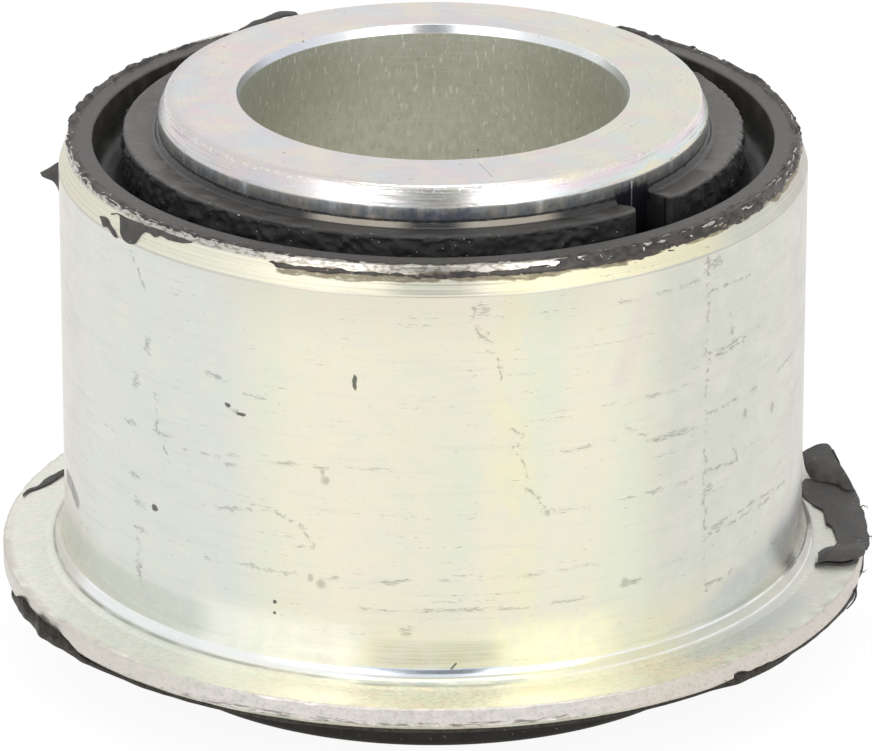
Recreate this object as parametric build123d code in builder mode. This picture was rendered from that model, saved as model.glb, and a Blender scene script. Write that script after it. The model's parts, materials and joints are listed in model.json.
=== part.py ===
from build123d import *
import os

# Flanged rubber-metal bush, in millimetres.
# A thick inner sleeve and a thin flanged outer sleeve are joined by one rubber moulding that is
# vulcanised to both. The bore axis is Z. The origin lies on that axis, in the plane of the
# flange's seating face, and the outer sleeve rises from it along +Z.

os.makedirs("parts", exist_ok=True)

# Diameters, built outward from the bore
bore_diameter = 30.0
inner_sleeve_wall = 6.25
rubber_gap = 5.75
outer_sleeve_wall = 2.0
flange_width = 4.9

# Heights, built up and down from the seating face
outer_sleeve_height = 33.5
flange_thickness = 1.8
pad_drop = 5.7
top_stand_out = 3.5
bottom_stand_out = 0.5

# Turned edges of the inner sleeve
bore_chamfer_width = 0.2
bore_chamfer_length = 0.7
sleeve_chamfer_width = 0.5
sleeve_chamfer_length = 1.5

# Turned edges of the outer sleeve
lead_in_width = 0.75
lead_in_length = 2.2
rim_flat = 0.5
flange_root_radius = 1.9
flange_entry_radius = 1.6
flange_edge_radius = 0.15
flange_edge_chamfer = 0.35

# Rubber at the open end: a ring round the inner sleeve and a groove between it and the lining
lining_thickness = 0.65
groove_width = 2.35
groove_depth = 3.7
groove_floor_flat = 0.25
ring_rise = 0.7
ring_edge_radius = 0.25
ring_dish_depth = 0.35
ring_shoulder_width = 0.35
lip_radius = 0.15

# Notch through the rubber ring, from the inner sleeve out into the groove
notch_width = 3.5
notch_angle = -45.0
notch_corner_radius = 0.9

# Rubber under the flange: a thin skin over the flange and a thick pad round the inner sleeve
skin_thickness = 0.3
pad_width = 3.1
pad_draft = 0.5
pad_root_radius = 1.2
pad_edge_radius = 0.4
pad_relief = 1.1

# Radii that follow
bore_radius = bore_diameter / 2
inner_sleeve_radius = bore_radius + inner_sleeve_wall
outer_bore_radius = inner_sleeve_radius + rubber_gap
body_radius = outer_bore_radius + outer_sleeve_wall
flange_radius = body_radius + flange_width
rim_outer_radius = body_radius - lead_in_width
rim_inner_radius = rim_outer_radius - rim_flat
rim_inner_chamfer = rim_inner_radius - outer_bore_radius
skin_radius = flange_radius - flange_edge_chamfer
groove_outer_radius = outer_bore_radius - lining_thickness
ring_radius = groove_outer_radius - groove_width
groove_corner_radius = (groove_width - groove_floor_flat) / 2
pad_radius = inner_sleeve_radius + pad_width

# Heights that follow
flange_underside = -flange_thickness
skin_face = flange_underside - skin_thickness
pad_face = flange_underside - pad_drop
ring_top = outer_sleeve_height + ring_rise
groove_floor = outer_sleeve_height - groove_depth
inner_sleeve_top = outer_sleeve_height + top_stand_out
inner_sleeve_bottom = pad_face - bottom_stand_out

# The notch runs outward along this plane's X axis
notch_plane = Plane.XY.rotated((0, 0, notch_angle))

# Edges and corners are picked by their size and place to within this distance
match_tolerance = 0.001


def circles_at(part, radius, height):
    """The round edges of a turned part that have this radius and lie at this height."""
    rounds = part.edges().filter_by(GeomType.CIRCLE)
    level = rounds.filter_by(lambda edge: abs(edge.arc_center.Z - height) < match_tolerance)
    return level.filter_by(lambda edge: abs(edge.radius - radius) < match_tolerance)


# Inner sleeve: a turned tube with the same lead-in chamfers at both ends
with BuildPart() as inner_sleeve:
    with BuildSketch(Plane.XZ):
        with BuildLine():
            Polyline(
                (bore_radius + bore_chamfer_width, inner_sleeve_bottom),
                (inner_sleeve_radius - sleeve_chamfer_width, inner_sleeve_bottom),
                (inner_sleeve_radius, inner_sleeve_bottom + sleeve_chamfer_length),
                (inner_sleeve_radius, inner_sleeve_top - sleeve_chamfer_length),
                (inner_sleeve_radius - sleeve_chamfer_width, inner_sleeve_top),
                (bore_radius + bore_chamfer_width, inner_sleeve_top),
                (bore_radius, inner_sleeve_top - bore_chamfer_length),
                (bore_radius, inner_sleeve_bottom + bore_chamfer_length),
                close=True,
            )
        make_face()
    revolve(axis=Axis.Z)

# Outer sleeve: a thin turned shell with a lead-in taper at its rim and a flange at its foot
with BuildPart() as outer_sleeve:
    with BuildSketch(Plane.XZ):
        with BuildLine():
            Polyline(
                (outer_bore_radius, flange_underside),
                (flange_radius - flange_edge_chamfer, flange_underside),
                (flange_radius, flange_underside + flange_edge_chamfer),
                (flange_radius, 0),
                (body_radius, 0),
                (body_radius, outer_sleeve_height - lead_in_length),
                (rim_outer_radius, outer_sleeve_height),
                (rim_inner_radius, outer_sleeve_height),
                (outer_bore_radius, outer_sleeve_height - rim_inner_chamfer),
                close=True,
            )
        make_face()
    revolve(axis=Axis.Z)
    fillet(circles_at(outer_sleeve.part, body_radius, 0), flange_root_radius)
    fillet(circles_at(outer_sleeve.part, outer_bore_radius, flange_underside), flange_entry_radius)
    fillet(circles_at(outer_sleeve.part, flange_radius, 0), flange_edge_radius)

# Rubber: one moulding that fills the gap, lines the outer sleeve up to its rim and laps the
# flange's underside
with BuildPart() as rubber_body:
    with BuildSketch(Plane.XZ):
        with BuildLine():
            Polyline(
                (inner_sleeve_radius, ring_top),
                (ring_radius, ring_top),
                (ring_radius, outer_sleeve_height),
                (rim_inner_radius, outer_sleeve_height),
                (outer_bore_radius, outer_sleeve_height - rim_inner_chamfer),
                (outer_bore_radius, flange_underside),
                (skin_radius, flange_underside),
                (skin_radius, skin_face),
                (pad_radius + pad_draft, skin_face),
                (pad_radius, pad_face),
                (inner_sleeve_radius + pad_relief, pad_face),
                (inner_sleeve_radius, pad_face + pad_relief),
                close=True,
            )
        make_face()
    revolve(axis=Axis.Z)

    # The groove leaves a ring round the inner sleeve, and a notch opens through the ring into it
    with BuildSketch(notch_plane.offset(groove_floor)) as groove:
        Circle(groove_outer_radius)
        Circle(ring_radius, mode=Mode.SUBTRACT)
        with Locations((ring_radius / 2, 0)):
            Rectangle(ring_radius, notch_width)
        notch_sides = groove.vertices().filter_by(
            lambda corner: abs(abs(corner.Y) - notch_width / 2) < match_tolerance
        )
        fillet(notch_sides.sort_by(Axis.X)[-2:], notch_corner_radius)
    extrude(amount=2 * groove_depth, mode=Mode.SUBTRACT)
    fillet(circles_at(rubber_body.part, ring_radius, groove_floor), groove_corner_radius)
    fillet(circles_at(rubber_body.part, groove_outer_radius, groove_floor), groove_corner_radius)
    fillet(circles_at(rubber_body.part, groove_outer_radius, outer_sleeve_height), lip_radius)
    fillet(circles_at(rubber_body.part, ring_radius, ring_top), ring_edge_radius)

    # The ring's top is dished: a short shoulder climbs the inner sleeve, and a long slope rises
    # outward to the ring's edge
    with BuildSketch(Plane.XZ):
        with BuildLine():
            Polyline(
                (inner_sleeve_radius, ring_top),
                (inner_sleeve_radius + ring_shoulder_width, ring_top - ring_dish_depth),
                (ring_radius - ring_edge_radius, ring_top),
                close=True,
            )
        make_face()
    revolve(axis=Axis.Z, mode=Mode.SUBTRACT)

    # Moulded edges of the pad, and the rubber's bend out of the sleeve under the flange
    fillet(circles_at(rubber_body.part, outer_bore_radius, flange_underside), flange_entry_radius)
    fillet(circles_at(rubber_body.part, pad_radius + pad_draft, skin_face), pad_root_radius)
    fillet(circles_at(rubber_body.part, pad_radius, pad_face), pad_edge_radius)

inner_sleeve.part.label = "inner_sleeve"
outer_sleeve.part.label = "outer_sleeve"
rubber_body.part.label = "rubber_body"

export_step(inner_sleeve.part, "parts/inner_sleeve.step")
export_step(outer_sleeve.part, "parts/outer_sleeve.step")
export_step(rubber_body.part, "parts/rubber_body.step")
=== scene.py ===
"""The looks of a flanged rubber-metal bush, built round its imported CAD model.

Sections and places are in millimetres. An azimuth is in degrees round the bore's axis, from the
front (-Y) towards +X. Meshes are made in metres, in the model's own frame.
"""

import json
import math

import bpy
import numpy as np
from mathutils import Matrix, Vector


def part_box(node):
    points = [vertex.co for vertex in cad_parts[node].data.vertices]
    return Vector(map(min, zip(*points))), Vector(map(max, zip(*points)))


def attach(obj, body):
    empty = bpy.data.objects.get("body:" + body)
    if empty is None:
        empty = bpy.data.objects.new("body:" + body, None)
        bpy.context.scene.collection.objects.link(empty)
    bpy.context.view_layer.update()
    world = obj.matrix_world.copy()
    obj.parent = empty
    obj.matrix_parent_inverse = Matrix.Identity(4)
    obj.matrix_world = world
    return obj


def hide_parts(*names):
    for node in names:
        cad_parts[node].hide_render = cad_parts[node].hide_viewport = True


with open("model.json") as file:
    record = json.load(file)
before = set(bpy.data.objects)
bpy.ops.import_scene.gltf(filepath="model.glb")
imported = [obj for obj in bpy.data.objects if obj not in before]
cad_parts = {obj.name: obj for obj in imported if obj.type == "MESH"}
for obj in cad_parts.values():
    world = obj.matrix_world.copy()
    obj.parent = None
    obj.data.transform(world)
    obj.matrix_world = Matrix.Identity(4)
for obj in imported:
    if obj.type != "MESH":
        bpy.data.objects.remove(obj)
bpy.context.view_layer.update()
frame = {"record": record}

MM = 0.001
BODY = "root"

# ---------------------------------------------------------------------------------------------
# Sizes
# ---------------------------------------------------------------------------------------------


def extent(node):
    """A CAD node's largest radius, lowest height and highest height."""
    low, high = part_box(node)
    return high.x / MM, low.z / MM, high.z / MM


mounts = {mount["name"]: mount["dims"] for mount in frame["record"]["mounts"]}
bore_radius = mounts["bore"]["r_mm"]
body_radius = mounts["shell_outside"]["r_mm"]
sleeve_radius, sleeve_bottom, sleeve_top = extent("inner_sleeve")
flange_radius, flange_underside, rim_height = extent("outer_sleeve")
skin_radius, pad_face, ring_top = extent("rubber_body")

# Sizes that the model's boxes don't give. A chamfer is (across, along).
bore_chamfer = (0.2, 0.7)
sleeve_chamfer = (0.5, 1.5)
shell_wall = 2.0
lead_in = (0.75, 2.2)
rim_flat = 0.5
flange_entry = 1.6
flange_bevel = 0.35
lining = 0.65
groove_width = 2.35
groove_depth = 3.7
groove_corner = 1.05
ring_edge = 0.25
ring_dish = 0.35
lip = 0.15
notch_azimuth = 45.0
notch_width = 3.5
notch_corner = 0.9
skin = 0.3
pad_width = 3.1
pad_draft = 0.5
pad_root = 1.2
pad_edge = 0.4
pad_relief = 1.1

# Mesh lines round each piece, as many as its limit of triangles allows. The ring's are those away
# from its notch.
shell_lines = 820
tube_lines = 720
ring_lines = 1040
lining_lines = 1200
pad_lines = 780

# Further than anything on the unrolled wall
far_away = 1e3

shell_bore = body_radius - shell_wall
rim_outer = body_radius - lead_in[0]
rim_inner = rim_outer - rim_flat
groove_outer = shell_bore - lining
ring_radius = groove_outer - groove_width
groove_middle = ring_radius + groove_width / 2
groove_floor = rim_height - groove_depth
skin_face = flange_underside - skin
pad_radius = sleeve_radius + pad_width
taper_length = math.hypot(*lead_in)

# ---------------------------------------------------------------------------------------------
# Mesh tools
# ---------------------------------------------------------------------------------------------


def corner(radius, height, rounding=0, step=5):
    """A corner of a section, with the step between the points on the run that ends there."""
    return radius, height, rounding, step


def section(corners):
    """Points along a chain of corners.

    Returns the points, and for each point the number of the corner that it rounds or, on a
    straight run, the number of the corner before it plus a half.
    """
    points, runs = [], []

    def add(point, run):
        points.append(point)
        runs.append(run)

    def straight(start, end, run, step):
        length = np.linalg.norm(end - start)
        pieces = max(int(math.ceil(length / step)), 1)
        tight = min(0.04 / max(length, 1e-6), 0.3)
        for share in [tight, *np.linspace(0, 1, pieces + 1)[1:-1], 1 - tight]:
            add(start + share * (end - start), run)

    places = [np.array(here[:2], float) for here in corners]
    last = places[0]
    add(last, 0)
    for i in range(1, len(corners)):
        here, (rounding, step) = places[i], corners[i][2:]
        if rounding and i < len(corners) - 1:
            back, ahead = places[i - 1] - here, places[i + 1] - here
            back, ahead = back / np.linalg.norm(back), ahead / np.linalg.norm(ahead)
            half = math.acos(np.clip(back @ ahead, -1, 1)) / 2
            reach = rounding / math.tan(half)
            middle = here + (back + ahead) / np.linalg.norm(back + ahead) * rounding / math.sin(half)
            start, end = here + back * reach, here + ahead * reach
            straight(last, start, i - 0.5, step)
            turn = math.pi - 2 * half
            count = max(int(math.ceil(turn * rounding / min(step, 0.25))), 2)
            for share in np.linspace(0, 1, count + 1):
                first = (start - middle) * math.sin((1 - share) * turn)
                second = (end - middle) * math.sin(share * turn)
                add(middle + (first + second) / math.sin(turn), i)
            last = end
        else:
            straight(last, here, i - 0.5, step)
            add(here, i)
            last = here
    return np.array(points), np.array(runs)


def loop(corners):
    """The points of a closed section, and the run that each is on."""
    points, runs = section([*corners, corners[0]])
    return points[:-1], runs[:-1]


def unit(vectors):
    """The same directions, each of length 1."""
    return vectors / np.maximum(np.linalg.norm(vectors, axis=-1, keepdims=True), 1e-9)


def travelled(points):
    """The distance along a chain of points, at each of them."""
    return np.concatenate([[0], np.cumsum(np.linalg.norm(np.diff(points, axis=0), axis=1))])


def outward(profile):
    """The directions square to a closed section that is listed clockwise, as (radius, height)."""
    tangent = unit(np.roll(profile, -1, axis=0) - np.roll(profile, 1, axis=0))
    return np.stack([-tangent[:, 1], tangent[:, 0]], axis=1)


def around(azimuth, radius, height):
    """Points in space from azimuths, radii and heights."""
    angle = np.radians(azimuth)
    parts = radius * np.sin(angle), -radius * np.cos(angle), height
    return np.stack(np.broadcast_arrays(*parts), axis=-1)


def new_object(name, data):
    """A new object in the scene."""
    made = bpy.data.objects.new(name, data)
    bpy.context.scene.collection.objects.link(made)
    return made


def grid_mesh(name, points, ring=True):
    """A closed smooth mesh through a grid of points, of shape (along, across, 3).

    It closes across. Along, it closes on itself as a ring, or has a cap at each end.
    """
    along, across = points.shape[:2]
    index = np.arange(along * across).reshape(along, across)
    ahead = np.roll(index, -1, axis=0)
    if not ring:
        index, ahead = index[:-1], ahead[:-1]
    corners = [index, ahead, np.roll(ahead, -1, axis=1), np.roll(index, -1, axis=1)]
    faces = np.stack(corners, axis=-1).reshape(-1, 4).tolist()
    if not ring:
        faces.append(list(range(across)))
        faces.append(list(range(along * across - 1, (along - 1) * across - 1, -1)))
    mesh = bpy.data.meshes.new(name)
    mesh.from_pydata((points.reshape(-1, 3) * MM).tolist(), [], faces)
    mesh.polygons.foreach_set("use_smooth", np.ones(len(faces), bool))
    mesh.update()
    return new_object(name, mesh)


def random_field(shape, grain, seed):
    """Smooth random values of unit size on a grid that closes on itself. Grain is in grid steps."""
    white = np.random.default_rng(seed).standard_normal(shape)
    waves = np.meshgrid(*[np.fft.fftfreq(count) for count in shape], indexing="ij")
    power = sum((wave * size) ** 2 for wave, size in zip(waves, grain))
    field = np.fft.ifftn(np.fft.fftn(white) * np.exp(-2 * math.pi**2 * power)).real
    field = field - field.mean()
    return field / max(field.std(), 1e-6)


def smooth_step(low, high, values):
    """0 at low, 1 at high, and a smooth rise between."""
    share = np.clip((values - low) / (high - low), 0, 1)
    return share * share * (3 - 2 * share)


def window(values, start, end, fade):
    """1 from start to end, with a smooth fade outside."""
    return smooth_step(start - fade, start, values) * smooth_step(end + fade, end, values)


def even_lines(count):
    """The azimuths of mesh lines that stand evenly round the axis."""
    return np.linspace(-180, 180, count, endpoint=False)[:, None]


def turned(name, corners, lines, wear):
    """A turned piece: a closed section swept round the axis. Wear moves points along the normal."""
    profile, runs = loop(corners)
    azimuth = even_lines(lines)
    depth = wear(azimuth, profile, runs)
    normal = outward(profile)
    radius = profile[None, :, 0] + depth * normal[:, 0]
    height = profile[None, :, 1] + depth * normal[:, 1]
    return grid_mesh(name, around(azimuth, radius, height))


# ---------------------------------------------------------------------------------------------
# Steel pieces
# ---------------------------------------------------------------------------------------------

# The foot of the shell's wall as the tool left it: (beyond the wall, height, rounding, step)
foot_facets = ((0, 3.0, 14, 3), (0.3, 0.76, 1.1, 0.1), (0.98, 0.2, 0.25, 0.2), (1.6, 0.04, 0, 0.3))


def make_shell():
    """The outer sleeve: its edges just broken, its flange's edge nicked, and its wall led into the
    flange by narrow turned faces."""
    foot = [corner(body_radius + facet[0], *facet[1:]) for facet in foot_facets]
    corners = [
        corner(shell_bore, rim_height - rim_inner + shell_bore),
        corner(rim_inner, rim_height, 0.06, 0.3),
        corner(rim_outer, rim_height, 0.06, 0.1),
        corner(body_radius, rim_height - lead_in[1], 0.25, 0.3),
        *foot,
        corner(flange_radius, 0, 0.12, 1),
        corner(flange_radius, flange_underside + flange_bevel, 0.08, 0.15),
        corner(skin_radius, flange_underside, 0.08, 0.15),
        corner(shell_bore, flange_underside),
    ]
    edge = 4 + len(foot)

    def wear(azimuth, profile, runs):
        size = (len(azimuth), len(profile))
        on_side = (runs > edge) * (runs <= edge + 2)
        nicked = 0.9 * on_side + 0.4 * np.isin(runs, (1, 2)) + 0.5 * (runs == edge)
        nicks = -0.09 * smooth_step(1.5, 3.0, random_field(size, (2.0, 0.8), 3)) * nicked
        beads = 0.02 * random_field(size, (0.9, 0.5), 4) * (runs == edge)
        foot_waves = 0.003 * random_field(size, (9, 1.5), 6) * (runs > 4) * (runs < edge - 1)
        return nicks + beads + foot_waves

    return turned("outer_sleeve_steel", corners, shell_lines, wear)


def make_tube():
    """The inner sleeve, with its edges just broken."""
    mouth = bore_radius + bore_chamfer[0]
    land = sleeve_radius - sleeve_chamfer[0]
    corners = [
        corner(bore_radius, sleeve_bottom + bore_chamfer[1], 0.1, 0.3),
        corner(bore_radius, sleeve_top - bore_chamfer[1], 0.1, 3),
        corner(mouth, sleeve_top, 0.05, 0.12),
        corner(land - 0.12, sleeve_top, 0.45, 0.12),
        corner(sleeve_radius, sleeve_top - sleeve_chamfer[1], 0.35, 0.1),
        corner(sleeve_radius, sleeve_bottom + sleeve_chamfer[1], 0.35, 3),
        corner(land, sleeve_bottom, 0.1, 3),
        corner(mouth, sleeve_bottom, 0.05, 1),
    ]

    def wear(azimuth, profile, runs):
        size = (len(azimuth), len(profile))
        nicks = -0.035 * smooth_step(0.9, 2.4, random_field(size, (1.1, 0.8), 5))
        return nicks * np.isin(runs, (2, 3, 4))

    return turned("inner_sleeve_steel", corners, tube_lines, wear)


# ---------------------------------------------------------------------------------------------
# Rubber pieces
# ---------------------------------------------------------------------------------------------


def notch_lines(step):
    """The mesh lines that run along the notch: each has a distance from the notch's middle line
    and the height that the notch leaves there."""
    half = notch_width / 2
    corners = [
        corner(0, groove_floor),
        corner(half, groove_floor, groove_corner, step),
        corner(half, ring_top, ring_edge, step),
        corner(half + 2 * ring_edge, ring_top, 0, step),
    ]
    points, _ = section(corners)
    left = points[:0:-1] * (-1, 1)
    return np.concatenate([left, points])


def ring_wall(offset):
    """The radius of the ring's outer wall at a distance from the notch's middle line, where the
    wall turns into the notch round an upright corner."""
    half = notch_width / 2
    centre_across = half + notch_corner
    centre_out = math.sqrt((ring_radius - notch_corner) ** 2 - centre_across**2)
    spread = np.clip(centre_across - offset, 0, notch_corner)
    out = centre_out + np.sqrt(notch_corner**2 - spread**2)
    tangent = ring_radius * centre_across / (ring_radius - notch_corner)
    return np.where(offset < tangent, np.hypot(out, np.maximum(offset, half)), ring_radius)


def make_ring():
    """The rubber ring round the inner sleeve: its dished top, its rough wall, its notch, and the
    inner half of the groove."""
    foot = ring_top - ring_dish
    under = groove_floor - 1
    overlap = groove_middle + 0.05
    fine = 0.15
    corners = [
        corner(sleeve_radius - 0.08, ring_top + 0.1),
        corner(sleeve_radius + 0.12, ring_top, 0.12, 0.06),
        corner(sleeve_radius + 0.36, foot, 0.25, 0.08),
        corner(ring_radius, ring_top, ring_edge, fine),
        corner(ring_radius, groove_floor, groove_corner, fine),
        corner(overlap, groove_floor, 0, 0.4),
        corner(overlap, under),
        corner(sleeve_radius - 0.08, under),
    ]
    profile, runs = loop(corners)
    normal = outward(profile)

    # Away from the notch the mesh lines are even. Near it they run along it.
    middle_radius = (sleeve_radius + ring_radius) / 2
    notch = notch_lines(0.17)
    notch_turn = np.degrees(np.arcsin(notch[:, 0] / middle_radius))
    rest = np.linspace(notch_turn[-1], 360 + notch_turn[0], ring_lines)[1:-1]
    turn = np.concatenate([notch_turn, rest])
    cut = np.concatenate([notch[:, 1], np.full(len(rest), ring_top + 1)])
    turn, cut = np.where(turn > 180, turn - 360, turn)[:, None], cut[:, None]
    offset = middle_radius * np.sin(np.radians(turn))
    near = smooth_step(14, 8, np.abs(turn))
    lines = len(turn)

    wall = np.where(np.abs(turn) < 14, ring_wall(np.abs(offset)), ring_radius)
    inner = (wall - sleeve_radius) / (ring_radius - sleeve_radius)
    outer = (overlap - wall) / (overlap - ring_radius)
    radius = np.where(
        profile[None, :, 0] <= ring_radius,
        sleeve_radius + (profile[None, :, 0] - sleeve_radius) * inner,
        wall + (profile[None, :, 0] - ring_radius) * outer,
    )
    height = np.repeat(profile[None, :, 1], lines, axis=0)
    along = np.degrees(np.arcsin(np.clip(offset / radius, -1, 1)))
    azimuth = notch_azimuth + turn + near * (along - turn)

    # The wall is lumpy, its top edge is chipped at the front, and it is finely torn at the right
    here = (turn + notch_azimuth + 180) % 360 - 180
    front = 0.12 + 0.88 * window(here, -48, 18, 14)
    size = (lines, len(profile))
    lumps = random_field(size, (2.6, 1.8), 11) + 0.9 * random_field(size, (1.1, 1.0), 12)
    chips = smooth_step(0.2, 1.5, random_field(size, (2.2, 2.5), 15) + 0.5 * random_field(size, (9, 4), 16))
    teeth = random_field((lines, 1), (1.1, 0.1), 13) + 0.5 * random_field((lines, 1), (3.0, 0.1), 14)
    side = window(here, 70, 125, 25)
    on_wall, on_edge = runs == 3.5, runs == 3
    top_share = smooth_step(ring_radius - 0.9, ring_radius - 0.2, profile[:, 0]) * (runs < 3)
    depth = lumps * (0.07 * on_wall + 0.03 * front * on_edge + 0.004 * (runs < 3))
    depth = depth - chips * front * (0.16 * on_edge + 0.1 * top_share)
    depth = depth + teeth * (0.012 * front + 0.028 * side) * (on_edge + 0.5 * on_wall)
    clear = smooth_step(notch_width / 2 + 0.7, notch_width / 2 + 1.8, np.abs(offset))
    depth = depth * np.where(np.abs(turn) < 14, clear, 1)
    radius = radius + depth * normal[:, 0]
    height = height + depth * normal[:, 1]
    height = np.where(runs < 4.7, np.minimum(height, cut), height)
    return grid_mesh("rubber_ring", around(azimuth, radius, height))


# How far the rubber film reaches over the steel rim, as (azimuth, distance along the steel from
# the rim's inner edge)
film_reach = (
    (-180, 0.7), (-165, 0.7), (-152, 0.5), (-144, 0.08), (-130, 0.1), (-126, 0.8), (-98, 0.9),
    (-92, 0.5), (-86, 0.45), (-76, 0.5), (-68, 0.62), (-60.5, 0.85), (-57.5, 0.75), (-55, 0.6),
    (-48, 0.55), (-42, 0.62), (-32, 0.5), (-27, 0.45), (-23, 0.2), (0, 0.08), (12, 0.12), (20, 0.5),
    (27, 1.1), (33, 1.5), (45, 1.35), (57, 1.55), (66, 1.2), (74, 1.1), (88, 1.2), (110, 0.9),
    (140, 0.8), (180, 0.7),
)

# The torn band that the film left lower on the taper, as (azimuth, nearer edge, further edge)
film_band = (
    (-180, 1.0, 1.0), (-26, 1.12, 1.12), (-24, 1.1, 1.45), (-18, 1.1, 1.34), (-8, 1.05, 1.34),
    (4, 0.98, 1.38), (12, 0.92, 1.34), (24, 0.8, 1.5), (33, 0.8, 1.5), (45, 1.0, 1.0), (180, 1.0, 1.0),
)


def over_azimuth(table, azimuth, column):
    """A table's column, read between its rows at each azimuth."""
    keys = np.array(table)
    return np.interp(azimuth[:, 0], keys[:, 0], keys[:, column])[:, None]


def make_lining():
    """The rubber lining inside the shell, its lip, and the torn film left on the steel rim."""
    film_end = 1.75
    down = film_end / taper_length
    foot = (rim_outer + lead_in[0] * down, rim_height - lead_in[1] * down)
    corners = [
        corner(groove_middle - 0.05, groove_floor),
        corner(groove_outer, groove_floor, groove_corner, 0.3),
        corner(groove_outer, rim_height, lip, 0.3),
        corner(rim_inner, rim_height, 0, 0.08),
        corner(rim_outer, rim_height, 0.06, 0.08),
        corner(*foot, 0, 0.09),
        corner(rim_inner - 0.3, foot[1] - 0.6),
        corner(groove_middle - 0.05, groove_floor - 1),
    ]

    def wear(azimuth, profile, runs):
        size = (len(azimuth), len(profile))

        # Distance along the steel from the rim's inner edge, where the section lies over the steel
        over = (runs >= 3) & (runs <= 5)
        travel = travelled(profile)
        travel = travel - travel[np.argmax(over)]

        torn = random_field(size, (1.8, 0.9), 21) + 0.9 * random_field(size, (5.5, 1.6), 22)
        torn = torn + 0.6 * random_field(size, (0.8, 0.7), 25)
        reach = over_azimuth(film_reach, azimuth, 1)
        thickness = 1.1 * (reach - travel) + 0.1 * torn
        start, end = over_azimuth(film_band, azimuth, 1), over_azimuth(film_band, azimuth, 2)
        band = 1.3 * np.minimum(travel - start, end - travel) + 0.05 * torn
        thickness = np.maximum(thickness, np.where(end - start > 0.02, band, -1))

        # The film is thin over the rim's corner, where flecks of steel stand through it
        flecks = random_field(size, (2.0, 0.8), 23) + 0.7 * random_field(size, (5.0, 1.4), 26)
        flecks = flecks / 1.22
        right = window(azimuth, 22, 130, 12)
        rim_corner = np.exp(-(((travel - 0.45) / 0.3) ** 2))
        rim_corner = rim_corner + 0.5 * np.exp(-(((travel - 0.95) / 0.2) ** 2))
        worn = smooth_step(1.35 - 0.35 * right, 1.75 - 0.35 * right, flecks) * rim_corner
        lumpy = window(azimuth, -165, -75, 8) + window(azimuth, 55, 160, 12)
        bumps = random_field(size, (4.0, 3.0), 27) + 0.6 * random_field(size, (1.8, 1.4), 28)
        bumps = smooth_step(0.2, 1.9, bumps)
        thickness = np.clip(thickness, -0.05, 0.07 + 0.18 * lumpy * bumps) - 0.2 * worn
        thickness = np.where(over[None, :], thickness, 0)
        return thickness + 0.004 * random_field(size, (2.0, 1.2), 24) * (runs < 3.2)

    return turned("rubber_lining", corners, lining_lines, wear)


# How far the torn skin reaches out under the flange, as (azimuth, radius)
skin_reach = (
    (-180, 33.55), (-79, 33.55), (-76, 33.9), (-71.5, 34.0), (-66.7, 34.05), (-62, 34.28), (-59, 34.1),
    (-54.5, 33.95), (-51, 33.78), (-46.7, 33.7), (-42.5, 33.72), (-39.5, 33.75), (-36, 33.6), (39, 33.55),
    (43, 33.8), (52, 33.84), (55, 33.62), (64, 33.6), (69, 33.78), (76, 33.85), (84, 33.6), (180, 33.55),
)


def make_pad():
    """The rubber below the flange: its thin torn skin, and the pad round the inner sleeve."""
    corners = [
        corner(shell_bore, flange_underside, flange_entry),
        corner(skin_radius, flange_underside),
        corner(skin_radius, skin_face, 0.1, 0.1),
        corner(pad_radius + pad_draft, skin_face, pad_root, 0.4),
        corner(pad_radius, pad_face, pad_edge, 0.5),
        corner(sleeve_radius + pad_relief, pad_face, 0.2, 0.5),
        corner(sleeve_radius, pad_face + pad_relief, 0, 0.5),
        corner(sleeve_radius, 0),
        corner(shell_bore, 0),
    ]
    profile, runs = loop(corners)
    azimuth = even_lines(pad_lines)
    lines = (len(azimuth), 1)
    waves = random_field(lines, (8, 0.1), 31)
    ragged = random_field(lines, (1.8, 0.1), 32)
    reach = over_azimuth(skin_reach, azimuth, 1) - skin_radius
    torn = smooth_step(0, 0.3, reach)
    on_edge = np.isin(runs, (1, 1.5, 2))[None, :]
    out = (reach + 0.02 * ragged + torn * (0.05 * waves + 0.03 * ragged)) * on_edge

    # It laps up the flange's side, high at the left and in torn points at the right
    points = np.clip(0.28 + 0.16 * ragged + 0.1 * waves, 0, 1)
    climb = (window(azimuth, 42, 53, 3) + window(azimuth, 70, 80, 5)) * points
    climb = climb + window(azimuth, -69, -58, 7) * np.clip(1.25 + 0.1 * ragged + 0.1 * waves, 0, 1.6)
    radius = profile[None, :, 0] + out
    height = profile[None, :, 1] + climb * (runs == 1)[None, :]
    return grid_mesh("rubber_pad", around(azimuth, radius, height))


# ---------------------------------------------------------------------------------------------
# Torn moulding flash
# ---------------------------------------------------------------------------------------------


def even_curve(places, count):
    """Evenly spaced points along a smooth curve through a list of points."""
    travel = travelled(places)
    slope = np.gradient(places, travel, axis=0)
    wanted = np.linspace(0, travel[-1], count)
    k = np.clip(np.searchsorted(travel, wanted, side="right") - 1, 0, len(travel) - 2)
    length = (travel[k + 1] - travel[k])[:, None]
    share = (wanted - travel[k])[:, None] / length
    a, b = 2 * share**3 - 3 * share**2 + 1, share**3 - 2 * share**2 + share
    c, d = -2 * share**3 + 3 * share**2, share**3 - share**2
    return a * places[k] + b * length * slope[k] + c * places[k + 1] + d * length * slope[k + 1]


def rail(places, count):
    """Evenly spaced points along a smooth curve through places, each (azimuth, radius, height)."""
    given = np.array(places, float)
    return even_curve(around(given[:, 0], given[:, 1], given[:, 2]), count)


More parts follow.
